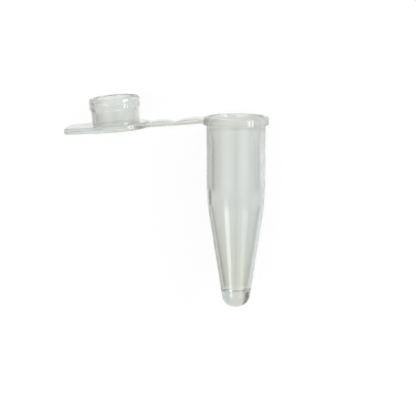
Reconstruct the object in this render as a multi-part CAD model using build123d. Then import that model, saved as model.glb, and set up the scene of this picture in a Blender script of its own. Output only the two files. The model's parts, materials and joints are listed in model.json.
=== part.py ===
from build123d import *
from math import acos, atan2, cos, hypot, radians, sin, tan
import os

# A single-moulding tube with its lid held open on a strap, lying on its back. Lengths are millimetres.
# The tube's axis is Y, its mouth opens towards +Y, the lid lies towards -X and +Z is up.
# The origin is the centre of the mouth, level with the rim's top. A depth is a distance below that.

# tube, outside
tube_length = 20.1
barrel_radius = 3.1
rim_overhang = 0.38
rim_height = 0.82
rim_round = 0.3
shoulder_depth = 8.6
shoulder_blend = 14.0
end_radius = 1.3  # before rounding: with the length it sets the cone, about 17.4 degrees across
end_round = 1.15

# tube, inside
barrel_wall = 0.45
cone_wall = 0.32
floor_thickness = 1.6
floor_round = 0.5
seal_depth = 1.24
seal_step = 0.16
mouth_round = 0.1

# lid
lid_inset = 0.03  # the lid's edge inside the rim's
lid_thickness = 0.63
lid_edge_round = 0.13
tab_reach = 5.32  # from the plug's axis to the tab's tip
tab_tip_width = 4.1
tab_corner = 0.7
plug_height = 2.85
plug_wall = 0.345  # at the neck
plug_floor_round = 0.2
neck_round = 0.12
bead_height = 1.28
bead_bulge = 0.12  # how far the bead stands out from the neck
tip_outer_round = 0.3
tip_inner_round = 0.1

# strap
strap_width = 3.1
strap_thickness = 0.44
strap_depth = 0.24  # from the rim's top down to the strap's top
strap_root = 0.27  # how far each flat-ended root stands out
strap_edge_round = 0.07
lid_strap_inset = 0.09  # from the lid's outer face to the strap's underside
fold_offset = 0.3  # from the strap's middle to the living hinge, towards the lid
fold_thickness = 0.22
hump_offset = 1.6  # from the fold to each half's thickest place
hump_thickness = 0.52

# fits and the lid's place when open
seal_gap = 0.02  # a side, between bead and bore: the real one is a light press fit
seat_gap = 0.02  # between lid and rim when shut
swing_gap = 0.15  # between plug and rim when the lid swings over
lid_reach = 12.66  # from the tube's axis to the middle of the open lid
lid_drop = 0.89  # from the rim's top down to the middle of the open lid
lid_droop = 5.0  # degrees past level

rim_radius = barrel_radius + rim_overhang
bore_radius = barrel_radius - barrel_wall
seal_radius = bore_radius + seal_step
cone_slope = (barrel_radius - end_radius) / (tube_length - shoulder_depth)
floor_depth = tube_length - floor_thickness
floor_radius = end_radius + floor_thickness * cone_slope - cone_wall
# the bore turns into the inner cone where the two walls' inner lines meet
bore_shoulder_depth = shoulder_depth + (barrel_wall - cone_wall) / cone_slope

bead_middle = plug_height - bead_height / 2  # from the lid's inner face
bead_radius = bore_radius - seal_gap
neck_radius = bead_radius - bead_bulge
plug_bore = neck_radius - plug_wall
lid_radius = rim_radius - lid_inset

# the lid swings over the mouth at this height and is then pressed straight down
swing_height = plug_height + swing_gap
swing_angle = 180 + lid_droop


def rounded(face, corners):
    """Rounds the face's corner nearest each given point."""
    for x, y, radius in corners:
        corner = min(face.vertices(), key=lambda v: hypot(v.X - x, v.Y - y))
        face = fillet(corner, radius)
    return face


def hinge_axis():
    """The point in the XY plane about which the shut lid, raised to its swing height, turns to lie open."""
    run, rise = -lid_reach, -lid_drop - swing_height
    offset = 0.5 / tan(radians(swing_angle) / 2)
    return run / 2 - rise * offset, swing_height + rise / 2 + run * offset


hinge_x, hinge_y = hinge_axis()

# The lid is modelled shut, with its inner face on y = 0. This raises it and swings it open.
lid_opening = Pos(hinge_x, hinge_y, 0) * Rot(0, 0, swing_angle) * Pos(-hinge_x, swing_height - hinge_y, 0)


def tube_body():
    outline = [
        (0, -tube_length),
        (end_radius, -tube_length),
        (barrel_radius, -shoulder_depth),
        (barrel_radius, -rim_height),
        (rim_radius, -rim_height),
        (rim_radius, 0),
        (seal_radius, 0),
        (seal_radius, -seal_depth),
        (bore_radius, -seal_depth - seal_step),
        (bore_radius, -bore_shoulder_depth),
        (floor_radius, -floor_depth),
        (0, -floor_depth),
    ]
    section = Polygon(*outline, align=None)
    section = rounded(section, [
        (*outline[1], end_round),
        (*outline[2], shoulder_blend),
        (*outline[5], rim_round),
        (*outline[6], mouth_round),
        (*outline[9], shoulder_blend),
        (*outline[10], floor_round),
    ])
    return revolve(section, Axis.Y)


def tube_strap_root():
    """The flat-ended block on the rim's side that the strap grows from."""
    start = -barrel_radius + strap_root
    end = -rim_radius - strap_root
    root = Box(start - end, strap_thickness, strap_width, align=(Align.MIN, Align.MAX, Align.CENTER))
    root = Pos(end, -strap_depth, 0) * root
    root = fillet(root.edges().filter_by(Axis.X), strap_edge_round)
    bore = Pos(0, -rim_height, 0) * Rot(90, 0, 0) * Cylinder(seal_radius + seal_step, 2 * rim_height)
    return root - bore


def tube():
    return tube_body() + tube_strap_root()


def lid_plate():
    """The lid's disc, with a tab whose sides are tangents to the disc."""
    tip = (tab_reach, tab_tip_width / 2)
    touch_angle = atan2(tip[1], tip[0]) + acos(lid_radius / hypot(*tip))
    touch = (lid_radius * cos(touch_angle), lid_radius * sin(touch_angle))
    tab = Polygon(touch, (touch[0], -touch[1]), (tip[0], -tip[1]), tip, align=None)
    tab = rounded(tab, [(*tip, tab_corner), (tip[0], -tip[1], tab_corner)])
    outline = Circle(lid_radius) + tab
    plate = extrude(Plane.XZ.offset(-lid_thickness) * outline, lid_thickness)
    faces = plate.faces().sort_by(Axis.Y)
    return fillet(faces[0].edges() + faces[-1].edges(), lid_edge_round)


def lid_strap_root():
    """The flat-ended block on the lid's side that the strap grows from."""
    start = -neck_radius
    end = -lid_radius - strap_root
    root = Box(start - end, strap_thickness, strap_width, align=(Align.MIN, Align.MAX, Align.CENTER))
    root = Pos(end, lid_thickness - lid_strap_inset, 0) * root
    return fillet(root.edges().filter_by(Axis.X), strap_edge_round)


def plug():
    """The hollow ring that seals the mouth, with a bulging bead round its open end."""
    bead_top = (neck_radius, bead_height - plug_height)
    widest = (bead_radius, -bead_middle)
    tip = (neck_radius, -plug_height)
    inner_tip = (plug_bore, -plug_height)
    with BuildSketch() as section:
        with BuildLine():
            Polyline((plug_bore, lid_thickness / 2), (neck_radius, lid_thickness / 2), bead_top)
            ThreePointArc(bead_top, widest, tip)
            Polyline(tip, inner_tip, (plug_bore, lid_thickness / 2))
        make_face()
    ring = rounded(section.sketch, [(*tip, tip_outer_round), (*inner_tip, tip_inner_round)])
    return revolve(ring, Axis.Y)


def fillet_ring(radius, size, outward):
    """A concave rounding of the given size where a round wall stands on the lid's inner face."""
    side = 1 if outward else -1
    corner = Polygon((radius, 0), (radius + side * size, 0), (radius, -size), align=None)
    scoop = Pos(radius + side * size, -size) * Circle(size)
    return revolve(corner - scoop, Axis.Y)


def cap():
    shut = lid_plate() + lid_strap_root() + plug()
    shut = shut + fillet_ring(neck_radius, neck_round, True) + fillet_ring(plug_bore, plug_floor_round, False)
    return lid_opening * shut


def corner_when_open(x, y):
    point = (lid_opening * Pos(x, y, 0)).position
    return point.X, point.Y


def hinge_strap():
    """The strap: a straight underside, and a top that thins from two humps to the fold between them."""
    tube_x = -rim_radius - strap_root
    tube_top = (tube_x, -strap_depth)
    tube_under = (tube_x, -strap_depth - strap_thickness)
    lid_x = -lid_radius - strap_root
    lid_under = corner_when_open(lid_x, lid_thickness - lid_strap_inset)
    lid_top = corner_when_open(lid_x, lid_thickness - lid_strap_inset - strap_thickness)
    slope = (tube_under[1] - lid_under[1]) / (tube_under[0] - lid_under[0])

    def above_underside(x, thickness):
        return x, tube_under[1] + (x - tube_under[0]) * slope + thickness

    fold_x = (tube_under[0] + lid_under[0]) / 2 - fold_offset
    fold = above_underside(fold_x, fold_thickness)
    with BuildSketch() as section:
        with BuildLine():
            Polyline(lid_top, lid_under, tube_under, tube_top)
            ThreePointArc(tube_top, above_underside(fold_x + hump_offset, hump_thickness), fold)
            ThreePointArc(fold, above_underside(fold_x - hump_offset, hump_thickness), lid_top)
        make_face()
    strap = extrude(section.sketch, strap_width / 2, both=True)
    side_edges = strap.faces().filter_by(Axis.Z).edges()
    underside = side_edges.filter_by(GeomType.LINE).sort_by(SortBy.LENGTH)[-2:]
    return fillet(underside, strap_edge_round)


os.makedirs("parts", exist_ok=True)
export_step(tube(), "parts/tube.step")
export_step(hinge_strap(), "parts/hinge_strap.step")
export_step(cap(), "parts/cap.step")

print(f"lid's hinge axis: x {hinge_x:.4f}, y {hinge_y:.4f}, swing {swing_angle:.2f} degrees")
print(f"lid's press: {swing_height - seat_gap:.3f} mm, bead radius {bead_radius:.3f}")
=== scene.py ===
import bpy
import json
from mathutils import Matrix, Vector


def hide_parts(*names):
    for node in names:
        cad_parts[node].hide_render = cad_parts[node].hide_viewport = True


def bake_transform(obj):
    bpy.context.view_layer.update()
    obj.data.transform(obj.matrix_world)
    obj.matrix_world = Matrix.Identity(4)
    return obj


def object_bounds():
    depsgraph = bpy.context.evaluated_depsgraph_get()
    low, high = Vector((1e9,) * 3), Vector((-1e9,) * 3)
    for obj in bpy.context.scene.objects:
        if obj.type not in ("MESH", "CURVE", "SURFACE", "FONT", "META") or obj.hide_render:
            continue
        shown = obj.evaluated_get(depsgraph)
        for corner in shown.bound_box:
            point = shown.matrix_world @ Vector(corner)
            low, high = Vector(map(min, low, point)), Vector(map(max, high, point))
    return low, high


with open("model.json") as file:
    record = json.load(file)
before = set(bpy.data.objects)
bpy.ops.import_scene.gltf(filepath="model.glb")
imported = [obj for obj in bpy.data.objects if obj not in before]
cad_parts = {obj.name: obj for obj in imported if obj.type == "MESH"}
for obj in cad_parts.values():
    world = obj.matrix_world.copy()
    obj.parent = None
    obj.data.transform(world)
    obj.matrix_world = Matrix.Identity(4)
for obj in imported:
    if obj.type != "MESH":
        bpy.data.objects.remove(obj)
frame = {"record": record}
cadBox = [[float(n) for n in corner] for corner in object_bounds()]

import json
import math

import bmesh
import bpy
import numpy as np
from mathutils import Matrix, Vector

mm = 0.001
sharpAngle = 40  # degrees: an edge that turns further stays crisp
joints = {joint["name"]: joint for joint in frame["record"]["behaviour"]["joints"]}

# Surface maths, shared by all pieces. Everything is in millimetres until a mesh is made.


def roundCorners(corners, steps, guard):
    # Each corner (x, y, radius) becomes an arc tangent to both its runs, about the centre
    # corner + bisector * radius / sin(half). Each end of a run gets a second point one guard length in, which keeps
    # flats flat when shaded smooth.
    points = [np.array(corners[0][:2], float)[None]]
    for before, here, after in zip(corners[:-2], corners[1:-1], corners[2:]):
        corner = np.array(here[:2], float)
        a = np.array(before[:2], float) - corner
        b = np.array(after[:2], float) - corner
        a, b = a / np.linalg.norm(a), b / np.linalg.norm(b)
        half = math.acos(np.clip(a @ b, -1, 1)) / 2
        reach = here[2] / math.tan(half)
        bisector = (a + b) / np.linalg.norm(a + b)
        centre = corner + bisector * here[2] / math.sin(half)
        start, end = corner + a * reach - centre, corner + b * reach - centre
        turn = math.pi - 2 * half
        t = np.linspace(0, 1, max(2, int(steps * turn / (math.pi / 2)) + 1))[:, None]
        arc = (np.sin((1 - t) * turn) * start + np.sin(t * turn) * end) / math.sin(turn) + centre
        points += [(corner + a * (reach + guard))[None], arc, (corner + b * (reach + guard))[None]]
    points.append(np.array(corners[-1][:2], float)[None])
    return np.concatenate(points)


def surface(name, grid, wrapRows=False):
    # Point (row, column) of the grid joins its neighbours in quads, and each row closes on itself.
    # A pole is a row whose points are all the same.
    rows, columns = grid.shape[:2]
    index = np.arange(rows * columns).reshape(rows, columns)
    if wrapRows:
        index = np.concatenate([index, index[:1]], axis=0)
    index = np.concatenate([index, index[:, :1]], axis=1)
    quads = np.stack([index[:-1, :-1], index[:-1, 1:], index[1:, 1:], index[1:, :-1]], axis=-1)
    mesh = bpy.data.meshes.new(name)
    mesh.from_pydata((grid.reshape(-1, 3) * mm).tolist(), [], quads.reshape(-1, 4).tolist())
    work = bmesh.new()
    work.from_mesh(mesh)
    bmesh.ops.remove_doubles(work, verts=work.verts, dist=1e-8)
    bmesh.ops.recalc_face_normals(work, faces=work.faces)
    if work.calc_volume(signed=True) < 0:
        bmesh.ops.reverse_faces(work, faces=work.faces)
    work.to_mesh(mesh)
    work.free()
    piece = bpy.data.objects.new(name, mesh)
    bpy.context.scene.collection.objects.link(piece)
    return piece


def revolve(profile, segments):
    # P(u, v) = (r(u) cos v, y(u), r(u) sin v)
    v = np.linspace(0, 2 * math.pi, segments, endpoint=False)
    r, y = profile[:, :1], profile[:, 1:]
    return np.stack([r * np.cos(v), y + 0 * v, r * np.sin(v)], axis=-1)


def unite(target, *others):
    # Solid union, so that light meets only the outer skin of the moulding.
    for other in others:
        joint = target.modifiers.new("unite", "BOOLEAN")
        joint.operation, joint.solver, joint.object = "UNION", "EXACT", other
    bpy.context.view_layer.update()
    whole = bpy.data.meshes.new_from_object(target.evaluated_get(bpy.context.evaluated_depsgraph_get()))
    target.modifiers.clear()
    target.data = whole
    for other in others:
        bpy.data.objects.remove(other)
    return target


def smoothShade(piece):
    mesh = piece.data
    mesh.polygons.foreach_set("use_smooth", np.ones(len(mesh.polygons), bool))
    mesh.set_sharp_from_angle(angle=math.radians(sharpAngle))
    flats = piece.modifiers.new("flat faces", "WEIGHTED_NORMAL")
    flats.keep_sharp = True


def pointsOf(piece):
    points = np.empty(len(piece.data.vertices) * 3)
    piece.data.vertices.foreach_get("co", points)
    return points.reshape(-1, 3) / mm


def paint(piece, name, values):
    # One value for each point of the mesh, for the material to read.
    layer = piece.data.attributes.new(name, "FLOAT", "POINT")
    layer.data.foreach_set("value", np.asarray(values, np.float32))


# Where the lid lies: the CAD's own hinge takes it from shut over the mouth to open.

lidLift = 3.0  # the lid swings over the mouth at this height
hinge = np.array(joints["lid_flip"]["pos_m"][:2]) / mm
swing = math.radians(joints["lid_flip"]["range_deg"][1])


def turned(points, angle, drop, rise):
    # P' = H + R(angle) (P + drop - H) + rise, with H the hinge and R a turn about Z
    x = points[..., 0] - hinge[0]
    y = points[..., 1] + drop - hinge[1]
    out = np.array(points, float)
    out[..., 0] = hinge[0] + math.cos(angle) * x - math.sin(angle) * y
    out[..., 1] = hinge[1] + math.sin(angle) * x + math.cos(angle) * y + rise
    return out


def openedLid(points):
    return turned(points, swing, lidLift, 0)


def shutLid(points):
    return turned(points, -swing, 0, -lidLift)


strap = {
    "halfWidth": 1.55,
    "cornerRound": 0.1,
    "cornerSteps": 6,
    "rootThickness": 0.44,
    "humpThickness": 0.52,
    "foldThickness": 0.22,
    "humpOffset": 1.6,
    "foldOffset": 0.3,         # from the strap's middle, towards the lid
    "tubeRoot": (-3.75, -0.68),
    "lidRoot": (-3.72, 0.54),  # on the shut lid
    "tubeEnd": -3.2,           # each half runs on into its moulding, as far as here
    "lidEnd": -9.6,
    "foldGap": 0.004,
    "rows": 64,
    "endRing": 0.9,            # a ring inside each flat end, as a share of its size
    "milk": 0.8,
    "milkStarts": (-3.46, -3.74),  # beyond the rim, and beyond the shut lid's edge
}
tubeUnder = np.array(strap["tubeRoot"])
lidUnder = openedLid(np.array([*strap["lidRoot"], 0.0]))[:2]
foldX = (tubeUnder[0] + lidUnder[0]) / 2 - strap["foldOffset"]


def strapHeights(x):
    # Underside: the straight line between the two roots. Thickness: a quarter sine from the fold up to each hump,
    # then a parabola down to the root.
    slope = (tubeUnder[1] - lidUnder[1]) / (tubeUnder[0] - lidUnder[0])
    low = tubeUnder[1] + (x - tubeUnder[0]) * slope
    away = np.abs(x - foldX)
    half = np.where(x > foldX, tubeUnder[0] - foldX, foldX - lidUnder[0])
    rise = np.sin(np.clip(away / strap["humpOffset"], 0, 1) * math.pi / 2)
    fall = np.clip((away - strap["humpOffset"]) / (half - strap["humpOffset"]), 0, 1) ** 2
    thick = (strap["foldThickness"] + (strap["humpThickness"] - strap["foldThickness"]) * rise
             - (strap["humpThickness"] - strap["rootThickness"]) * fall)
    return low, low + thick


def strapGrid(x, low, high):
    # P(u, v) = (x(u), middle(u) + (h(u)/2 - c) sy(v) + c sin v, (w - c) sz(v) + c cos v): a round-cornered
    # rectangle of height h and half width w carried along x, with a flat end at each end of the run.
    steps, corner = strap["cornerSteps"], strap["cornerRound"]
    turn = np.linspace(0, math.pi / 2, steps)
    v = np.concatenate([turn + quarter * math.pi / 2 for quarter in range(4)])
    sz = np.repeat([1, -1, -1, 1], steps)
    sy = np.repeat([1, 1, -1, -1], steps)
    middle, half = ((low + high) / 2)[:, None], ((high - low) / 2)[:, None]
    y = middle + (half - corner) * sy + corner * np.sin(v)
    z = (strap["halfWidth"] - corner) * sz + corner * np.cos(v) + 0 * middle
    body = np.stack([x[:, None] + 0 * y, y, z], axis=-1)
    ring = strap["endRing"]
    ends = [np.stack([x[i] + 0 * v, middle[i] + (y[i] - middle[i]) * s, z[i] * s], axis=-1)
            for i, s in ((0, 0.0), (0, ring), (-1, ring), (-1, 0.0))]
    return np.concatenate([np.stack(ends[:2]), body, np.stack(ends[2:])])


def strapHalf(name, fromX, toX):
    x = np.linspace(fromX, toX, strap["rows"])
    return surface(name, strapGrid(x, *strapHeights(x)))


tube = {
    "outline": [  # radius, height, corner rounding
        (0, -20.1, 0),
        (1.3, -20.1, 1.32),
        (3.1, -8.6, 14.0),
        (3.1, -0.82, 0.05),
        (3.48, -0.82, 0.05),
        (3.44, 0, 0.3),
        (2.91, 0, 0.1),
        (2.80, -1.19, 0.02),
        (2.775, -1.31, 0.02),
        (2.65, -3.2, 8.0),
        (2.65, -9.43, 3.0),
        (1.2304, -18.5, 0.8),
        (0, -18.5, 0),
    ],
    "segments": 448,
    "arcSteps": 12,
    "guard": 0.015,
    # the step under the sealing zone and the rounded floor of the bore get painted light, a white tint that lifts the
    # dark lines
    # that form there: lowest and highest height, and the radius that they stay within
    "paintedLight": (-1.32, -1.18, 2.9),
    "bowl": (-18.51, -17.8, 1.3),
    "milkAbove": -1.25,  # the thick rim and the strap look milkier than the walls
    "milk": 0.4,
}


def between(points, low, high, radius):
    # Which points lie between two heights and within a radius of the tube's axis.
    away = np.hypot(points[:, 0], points[:, 2])
    return (points[:, 1] > low) & (points[:, 1] < high) & (away < radius)


print("tube")
tubeProfile = roundCorners(tube["outline"], tube["arcSteps"], tube["guard"])
tubePiece = surface("tube_clear", revolve(tubeProfile, tube["segments"]))
tubePiece = unite(tubePiece, strapHalf("strap_tube_half", strap["tubeEnd"], foldX + strap["foldGap"] / 2))
smoothShade(tubePiece)

tubePoints = pointsOf(tubePiece)
tubeMilk = np.where(tubePoints[:, 0] < strap["milkStarts"][0], strap["milk"], tube["milk"])
# painted light: the ledge and the bore's floor are marked for a white tint that lifts their dark lines
paint(tubePiece, "paintedLight", between(tubePoints, *tube["paintedLight"]) | between(tubePoints, *tube["bowl"]))
paint(tubePiece, "milk", np.where(tubePoints[:, 1] > tube["milkAbove"], tubeMilk, 0))

lid = {
    "radius": 3.45,
    "thickness": 0.63,
    "edgeRound": 0.13,
    "edgeSteps": 9,
    "faceRings": (0.0, 0.3, 0.6, 0.85, 0.985),  # shares of the outline, from the middle out
    "tabReach": 5.32,
    "tabHalfWidth": 2.05,
    "tabCorner": 0.7,
    "tabSteps": 24,
    "plugOutline": [  # radius, height, corner rounding: neck, lower band, crease, lip, hollow
        (2.49, -0.13, 0),
        (2.53, -1.44, 0.3),
        (2.67, -1.72, 0.18),
        (2.66, -2.14, 0.1),
        (2.65, -2.2, 0.1),
        (2.69, -2.36, 0.2),
        (2.685, -2.85, 0.42),
        (2.165, -2.85, 0.08),
        (2.165, -0.21, 0),
    ],
    "plugArcSteps": 12,
    "plugGuard": 0.008,
    "plugRoot": 0.2,  # how far the plug runs on into the plate
    "neckRound": 0.12,
    "floorRound": 0.2,
    "segments": 192,
    "lipBelow": -2.55,  # painted light: the plug's lip gets a white tint from this height down, which lifts its dark lines
    "plugBelow": -0.15,  # and the plug has its own milk from here down
    "plugMilk": 0.15,
    "milk": 0.35,
}


def lidOutline():
    # A circle, two tangents to the tab's tip, and an arc at each corner of the tip: outline(u) = centre(u) +
    # radius(u) * normal(u). It is returned with its outward normals.
    r, c, steps = lid["radius"], lid["tabCorner"], lid["tabSteps"]
    tip = (lid["tabReach"], lid["tabHalfWidth"])
    touch = math.atan2(tip[1], tip[0]) + math.acos(r / math.hypot(*tip))
    # the corner's centre is c in from the tip line and c in from the tangent
    centreX = tip[0] - c
    centreZ = (r - c - centreX * math.cos(touch)) / math.sin(touch)
    big = np.linspace(touch, 2 * math.pi - touch, lid["segments"])
    small = np.linspace(0, touch, steps)
    angles = np.concatenate([big, -small[::-1], small])
    centres = np.concatenate([np.zeros((len(big), 2)), np.tile([centreX, -centreZ], (steps, 1)),
                              np.tile([centreX, centreZ], (steps, 1))])
    radii = np.concatenate([np.full(len(big), r), np.full(2 * steps, c)])[:, None]
    normals = np.stack([np.cos(angles), np.sin(angles)], axis=-1)
    return centres + radii * normals, normals


def lidPlate():
    # P(u, v) = outline(u) - inset(v) * normal(u) at height(v): a quarter circle of inset at both edges, and rings that
    # shrink to the middle on both faces.
    outline, normals = lidOutline()
    e, t = lid["edgeRound"], lid["thickness"]
    q = np.linspace(0, math.pi / 2, lid["edgeSteps"])
    inset = np.concatenate([e - e * np.sin(q), e - e * np.cos(q)])
    height = np.concatenate([e - e * np.cos(q), t - e + e * np.sin(q)])
    edge = outline[None] - inset[:, None, None] * normals[None]
    rings = np.array(lid["faceRings"])[:, None, None]
    flat = np.concatenate([edge[:1] * rings, edge, edge[-1:] * rings[::-1]])
    heights = np.concatenate([np.zeros(len(rings)), height, np.full(len(rings), t)])
    y = heights[:, None] + 0 * flat[..., 0]
    return surface("lid_clear", openedLid(np.stack([flat[..., 0], y, flat[..., 1]], axis=-1)))


def lidPlug():
    # P(u, v) = (r(u) cos v, y(u), r(u) sin v) with a closed profile: the outline's rounded corners, and a concave
    # quarter circle of radius c where each wall meets the lid, (wall + c (1 - sin q), -c (1 - cos q)).
    outline = lid["plugOutline"]
    q = np.linspace(0, math.pi / 2, lid["edgeSteps"])

    def foot(wall, c, side):
        return np.stack([wall + side * c * (1 - np.sin(q)), -c * (1 - np.cos(q))], axis=-1)

    outerFoot = foot(outline[0][0], lid["neckRound"], 1)
    innerFoot = foot(outline[-1][0], lid["floorRound"], -1)
    root = np.array([[innerFoot[0, 0], lid["plugRoot"]], [outerFoot[0, 0], lid["plugRoot"]]])
    walls = roundCorners(outline, lid["plugArcSteps"], lid["plugGuard"])
    profile = np.concatenate([outerFoot, walls, innerFoot[::-1], root])
    return surface("lid_plug", openedLid(revolve(profile, lid["segments"])), wrapRows=True)


print("lid")
lidPiece = unite(
    lidPlate(),
    lidPlug(),
    strapHalf("strap_lid_half", foldX - strap["foldGap"] / 2, strap["lidEnd"]),
)
smoothShade(lidPiece)

lidPoints = shutLid(pointsOf(lidPiece))
lidMilk = np.where(lidPoints[:, 0] < strap["milkStarts"][1], strap["milk"], lid["milk"])
paint(lidPiece, "milk", np.where(lidPoints[:, 1] < lid["plugBelow"], lid["plugMilk"], lidMilk))
# painted light: the plug's lip is marked for a white tint that lifts its dark lines
paint(lidPiece, "paintedLight", lidPoints[:, 1] < lid["lipBelow"])

clear = {
    "ior": 1.49,
    "tintLight": (0.909, 0.92, 0.915, 1),
    "tintDeep": (0.884, 0.895, 0.889, 1),
    "tintCone": (0.862, 0.871, 0.822, 1),
    "tintTip": (0.8, 0.81, 0.765, 1),
    "tintMilk": (0.76, 0.768, 0.726, 1),
    # the white tint of the painted light at the ledge, the bore's floor and the plug's lip
    "tintPaintedLight": (1, 1, 1, 1),
    "coneFrom": (-0.010, -0.018),  # the heights, in metres, over which a tint comes in
    "tipFrom": (-0.0178, -0.0187),
    "patchScale": 260.0,
    "patchFrom": (0.3, 0.7),
    "gloss": (0.03, 0.06),
    "flowScale": (700, 70, 700),
    "flowStrength": 0.004,
    "flowDepth": 0.00005,
    "haze": (0.08, 0.35),  # where milk is 0, and where it is 1
    "absorbColour": (0.45, 0.6, 0.48, 1),
    "absorbDensity": 14.0,
}


def nodesOf(owner):
    # An empty tree on a material or a world, with short ways to add a node, link two, and add a Math node whose entries
    # are numbers or (node, output) pairs.
    owner.use_nodes = True
    tree = owner.node_tree
    tree.nodes.clear()

    def add(kind, **values):
        node = tree.nodes.new(kind)
        for key, value in values.items():
            if hasattr(node, key):
                setattr(node, key, value)
            else:
                node.inputs[key.replace("_", " ")].default_value = value
        return node

    def link(source, output, target, entry):
        tree.links.new(source.outputs[output], target.inputs[entry])

    def maths(operation, *entries):
        node = add("ShaderNodeMath", operation=operation)
        for number, entry in enumerate(entries):
            if isinstance(entry, tuple):
                link(*entry, node, number)
            else:
                node.inputs[number].default_value = entry
        return node

    return add, link, maths


def clearPlastic(name):
    # Flow marks run along the tube. The tint deepens slightly in patches, turns towards yellow in the cone and the tip,
    # and gives way to milkiness in the thick parts and to white where the painted-light value says so: painted light
    # that lifts the dark lines at the ledge, the bore's floor and the plug's lip.
    material = bpy.data.materials.new(name)
    add, link = nodesOf(material)[:2]
    place = add("ShaderNodeTexCoord")
    split = add("ShaderNodeSeparateXYZ")
    link(place, "Object", split, "Vector")

    stretch = add("ShaderNodeMapping", Scale=clear["flowScale"])
    link(place, "Object", stretch, "Vector")
    flow = add("ShaderNodeTexNoise", Scale=1.0, Detail=3.0, Roughness=0.5)
    link(stretch, "Vector", flow, "Vector")
    bump = add("ShaderNodeBump", Strength=clear["flowStrength"], Distance=clear["flowDepth"])
    link(flow, "Fac", bump, "Height")

    patch = add("ShaderNodeTexNoise", Scale=clear["patchScale"], Detail=2.0)
    link(place, "Object", patch, "Vector")
    tint = add("ShaderNodeMix", data_type="RGBA")
    tint.inputs[6].default_value, tint.inputs[7].default_value = clear["tintLight"], clear["tintDeep"]
    link(patch, "Fac", tint, 0)

    def heightShare(ends):
        share = add("ShaderNodeMapRange", From_Min=ends[0], From_Max=ends[1], To_Min=0.0, To_Max=1.0)
        link(split, "Y", share, "Value")
        return share, "Result"

    def givesWay(base, share, colour):
        mix = add("ShaderNodeMix", data_type="RGBA")
        mix.inputs[7].default_value = colour
        link(*share, mix, 0)
        link(base, 2, mix, 6)
        return mix

    milk = add("ShaderNodeAttribute", attribute_name="milk")
    paintedLight = add("ShaderNodeAttribute", attribute_name="paintedLight")
    tint = givesWay(tint, heightShare(clear["coneFrom"]), clear["tintCone"])
    tint = givesWay(tint, heightShare(clear["tipFrom"]), clear["tintTip"])
    tint = givesWay(tint, (milk, "Fac"), clear["tintMilk"])
    # painted light: a white tint where the painted-light value is set, lifting the dark lines there
    tint = givesWay(tint, (paintedLight, "Fac"), clear["tintPaintedLight"])

    passed = add("ShaderNodeMapRange", To_Min=1 - clear["haze"][0], To_Max=1 - clear["haze"][1])
    link(milk, "Fac", passed, "Value")
    gloss = add("ShaderNodeMapRange", From_Min=clear["patchFrom"][0], From_Max=clear["patchFrom"][1],
                To_Min=clear["gloss"][0], To_Max=clear["gloss"][1])
    link(patch, "Fac", gloss, "Value")

    shader = add("ShaderNodeBsdfPrincipled", IOR=clear["ior"])
    link(tint, 2, shader, "Base Color")
    link(passed, "Result", shader, "Transmission Weight")
    link(gloss, "Result", shader, "Roughness")
    link(bump, "Normal", shader, "Normal")
    absorb = add("ShaderNodeVolumeAbsorption", Color=clear["absorbColour"], Density=clear["absorbDensity"])
    output = add("ShaderNodeOutputMaterial")
    link(shader, "BSDF", output, "Surface")
    link(absorb, "Volume", output, "Volume")
    return material


print("finishes")
plastic = clearPlastic("clear_polypropylene")
for piece in (tubePiece, lidPiece):
    piece.data.materials.clear()
    piece.data.materials.append(plastic)
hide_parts("tube", "hinge_strap")
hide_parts("cap")
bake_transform(tubePiece)
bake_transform(lidPiece)

studio = {
    "floorHalf": 1.5,
    "floorGap": 0.00001,
    "floorColour": (0.9, 0.9, 0.9, 1),
    "floorGlow": 0.9,
    "brightest": 2.0,
    # turn about the tube's axis from straight down, in degrees, and the light that comes from there
    "level": [
        (-180, 0.56), (-172, 0.88), (-160, 1.28), (-148, 1.44), (-137, 1.44), (-126, 1.12), (-114, 0.64),
        (-95, 0.68), (-70, 0.76), (-54, 0.64), (-42, 0.52), (-32, 0.4), (-26, 0.24), (-21, 0.36), (-16, 0.74),
        (-8, 0.88), (-2, 0.83), (3, 0.65), (8, 0.52), (13, 0.74), (22, 0.8), (45, 0.8), (66, 0.76), (84, 0.64),
        (100, 0.56), (113, 0.48), (124, 0.96), (139, 1.36), (155, 1.2), (166, 0.72), (173, 0.24), (179.9, 0.56),
    ],
    # the same for light that comes from nearer the mouth, and the height over which it takes over
    "raised": [
        (-180, 0.64), (-126, 0.8), (-95, 0.72), (-75, 0.64), (-70, 0.5), (-61, 0.1), (-42, 0.06), (-34, 0.4),
        (-28, 0.76), (-20, 0.8), (-8, 0.84), (6, 0.84), (20, 0.72), (80, 0.72), (100, 0.64), (179.9, 0.64),
    ],
    "raisedFrom": (-0.1, -0.04),
    "ends": 0.88,  # the even light from both ends of the tube, and where it takes over
    "endsFrom": (0.45, 0.75),
    # the light's tone on the lid's side and on the other, and where the one turns into the other
    "sides": ((1.0, 0.985, 0.945, 1), (0.935, 0.99, 1.0, 1)),
    "sidesFrom": (-0.4, 0.3),
    # each lamp runs between two directions, given as a turn from straight up towards +X and a height towards the mouth;
    # then its width as a share of its distance, and how bright its face is
    "lamps": [
        ((51.8, -0.055), (72.5, 0.9), 0.17, 6.5),  # the pair of bright marks on rim, plug and lid
        ((66.5, -0.055), (84.5, 0.9), 0.10, 7.0),
        ((-18.0, 0.0), (-18.0, 0.16), 0.93, 3.4),  # a broad soft box
        ((-34.0, -0.55), (-34.0, -0.34), 0.33, 2.7),  # the cone's bright streak, and its fainter start
        ((-34.0, -0.55), (-34.0, -0.26), 0.3, 1.3),
        ((48.5, -0.55), (48.5, -0.35), 0.42, 1.6),  # the cone's weaker streak
    ],
    "distance": 0.4,
    "bounces": (32, 24, 32),  # in all, in gloss, through the plastic: light is led a long way inside the clear walls
}


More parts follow.
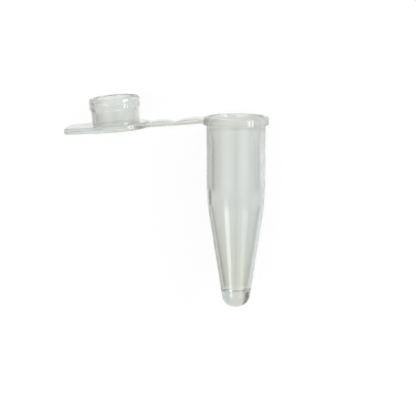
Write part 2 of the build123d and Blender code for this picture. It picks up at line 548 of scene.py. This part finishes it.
def floorMaterial():
    # Seen directly or in a reflection it is nearly plain white and keeps some shadow; seen through the clear plastic it
    # gives way to the studio's own light behind it.
    material = bpy.data.materials.new("pale_floor")
    add, link, maths = nodesOf(material)
    rays = add("ShaderNodeLightPath")
    seen = maths("MAXIMUM", (rays, "Is Camera Ray"), (rays, "Is Glossy Ray"))
    share = maths("MULTIPLY", (seen, 0), studio["floorGlow"])
    matt = add("ShaderNodeBsdfDiffuse", Color=studio["floorColour"])
    glow = add("ShaderNodeEmission", Color=(1, 1, 1, 1), Strength=1.0)
    nothing = add("ShaderNodeBsdfTransparent")
    shown, through = add("ShaderNodeMixShader"), add("ShaderNodeMixShader")
    output = add("ShaderNodeOutputMaterial")
    link(share, 0, shown, 0)
    link(matt, 0, shown, 1)
    link(glow, 0, shown, 2)
    link(rays, "Is Transmission Ray", through, 0)
    link(shown, 0, through, 1)
    link(nothing, 0, through, 2)
    link(through, 0, output, 0)
    return material


def studioWorld():
    # Light by direction: a white panel below with a dark flag beside it, pale walls and two soft lobes above; another
    # such round for light that comes from nearer the mouth, and even light from both ends. Where the camera looks past
    # the floor it is plain white.
    world = bpy.data.worlds.new("studio")
    add, link, maths = nodesOf(world)

    def roundLevel(wanted, turnShare):
        ramp = add("ShaderNodeValToRGB")
        ramp.color_ramp.interpolation = "EASE"
        stops = ramp.color_ramp.elements
        for number, (degrees, light) in enumerate(wanted):
            at = (degrees + 180) / 360
            stop = stops[0] if number == 0 else stops[-1] if number == len(wanted) - 1 else stops.new(at)
            stop.position = at
            tone = light / studio["brightest"]
            stop.color = (tone, tone, tone, 1)
        link(turnShare, 0, ramp, 0)
        return ramp

    def stepUp(source, output, ends):
        step = add("ShaderNodeMapRange", interpolation_type="SMOOTHSTEP", From_Min=ends[0], From_Max=ends[1])
        link(source, output, step, "Value")
        return step

    place, split = add("ShaderNodeTexCoord"), add("ShaderNodeSeparateXYZ")
    link(place, "Generated", split, 0)
    down = maths("MULTIPLY", (split, "Z"), -1.0)
    turn = maths("ARCTAN2", (split, "X"), (down, 0))
    share = add("ShaderNodeMapRange", From_Min=-math.pi, From_Max=math.pi)
    link(turn, 0, share, "Value")
    pair = add("ShaderNodeMix")
    link(stepUp(split, "Y", studio["raisedFrom"]), 0, pair, 0)
    link(roundLevel(studio["level"], share), 0, pair, 2)
    link(roundLevel(studio["raised"], share), 0, pair, 3)
    level = maths("MULTIPLY", (pair, 0), studio["brightest"])
    along = maths("ABSOLUTE", (split, "Y"))
    whole = add("ShaderNodeMix")
    whole.inputs[3].default_value = studio["ends"]
    link(stepUp(along, 0, studio["endsFrom"]), 0, whole, 0)
    link(level, 0, whole, 2)

    tone = add("ShaderNodeMix", data_type="RGBA")
    tone.inputs[6].default_value, tone.inputs[7].default_value = studio["sides"]
    link(stepUp(split, "X", studio["sidesFrom"]), 0, tone, 0)

    rays = add("ShaderNodeLightPath")
    strength, colour = add("ShaderNodeMix"), add("ShaderNodeMix", data_type="RGBA")
    strength.inputs[3].default_value = 1.0
    colour.inputs[7].default_value = (1, 1, 1, 1)
    link(rays, "Is Camera Ray", strength, 0)
    link(whole, 0, strength, 2)
    link(rays, "Is Camera Ray", colour, 0)
    link(tone, 2, colour, 6)
    glow, output = add("ShaderNodeBackground"), add("ShaderNodeOutputWorld")
    link(colour, 2, glow, "Color")
    link(strength, 0, glow, "Strength")
    link(glow, 0, output, 0)
    bpy.context.scene.world = world


def makeFloor():
    half, level = studio["floorHalf"], cadBox[0][2] - studio["floorGap"]
    corners = [(-half, -half, level), (half, -half, level), (half, half, level), (-half, half, level)]
    mesh = bpy.data.meshes.new("floor")
    mesh.from_pydata(corners, [], [(0, 1, 2, 3)])
    floor = bpy.data.objects.new("floor", mesh)
    bpy.context.scene.collection.objects.link(floor)
    mesh.materials.append(floorMaterial())


def towards(turn, height):
    # The direction at a turn from straight up towards +X, with its height along the tube's axis.
    flat = math.sqrt(1 - height ** 2)
    return Vector((math.sin(math.radians(turn)) * flat, height, math.cos(math.radians(turn)) * flat))


def placed(middle, side, upwards, back):
    return Matrix.Translation(middle) @ Matrix((side, upwards, back)).transposed().to_4x4()


def stripLamp(startAt, endAt, width, brightness):
    # A rectangle from one direction to the other, facing the tube's mouth. It is hidden from the eye, also through the
    # plastic, and shows as a highlight only.
    start, end = towards(*startAt) * studio["distance"], towards(*endAt) * studio["distance"]
    lamp = bpy.data.lights.new("lamp", "AREA")
    lamp.shape = "RECTANGLE"
    lamp.size, lamp.size_y = (end - start).length, width * studio["distance"]
    lamp.energy = brightness * math.pi * lamp.size * lamp.size_y
    holder = bpy.data.objects.new("lamp", lamp)
    bpy.context.scene.collection.objects.link(holder)
    middle = (start + end) / 2
    back = middle.normalized()
    side = (end - start).normalized()
    side = (side - back * side.dot(back)).normalized()
    holder.matrix_world = placed(middle, side, back.cross(side), back)
    holder.visible_camera = False
    holder.visible_transmission = False


print("studio")
makeFloor()
studioWorld()
for lampPlace in studio["lamps"]:
    stripLamp(*lampPlace)

view = {
    "yaw": 7.0,
    "elevation": 7.3,
    "distance": 500.0,
    "fieldWidth": 43.51464,  # how much the camera takes in across, at the tube
    "rimFromCentre": (2.93, 8.89),  # right and up of the view's middle
    "sensor": 36.0,
}
yaw, tilt = math.radians(view["yaw"]), math.radians(view["elevation"])
back = Vector((math.sin(yaw) * math.cos(tilt), math.sin(tilt), math.cos(yaw) * math.cos(tilt)))
up = (Vector((0, 1, 0)) - back * back.y).normalized()
right = up.cross(back)
centre = -(right * view["rimFromCentre"][0] + up * view["rimFromCentre"][1]) * mm
lens = bpy.data.cameras.new("camera")
lens.sensor_width = view["sensor"]
lens.lens = view["sensor"] * view["distance"] / view["fieldWidth"]
lens.clip_start = 1 * mm
camera = bpy.data.objects.new("camera", lens)
bpy.context.scene.collection.objects.link(camera)
camera.matrix_world = placed(centre + back * view["distance"] * mm, right, up, back)
bpy.context.scene.camera = camera
bpy.context.scene.view_settings.view_transform = "Standard"

paths = bpy.context.scene.cycles
paths.max_bounces, paths.glossy_bounces, paths.transmission_bounces = studio["bounces"]

bpy.context.view_layer.update()
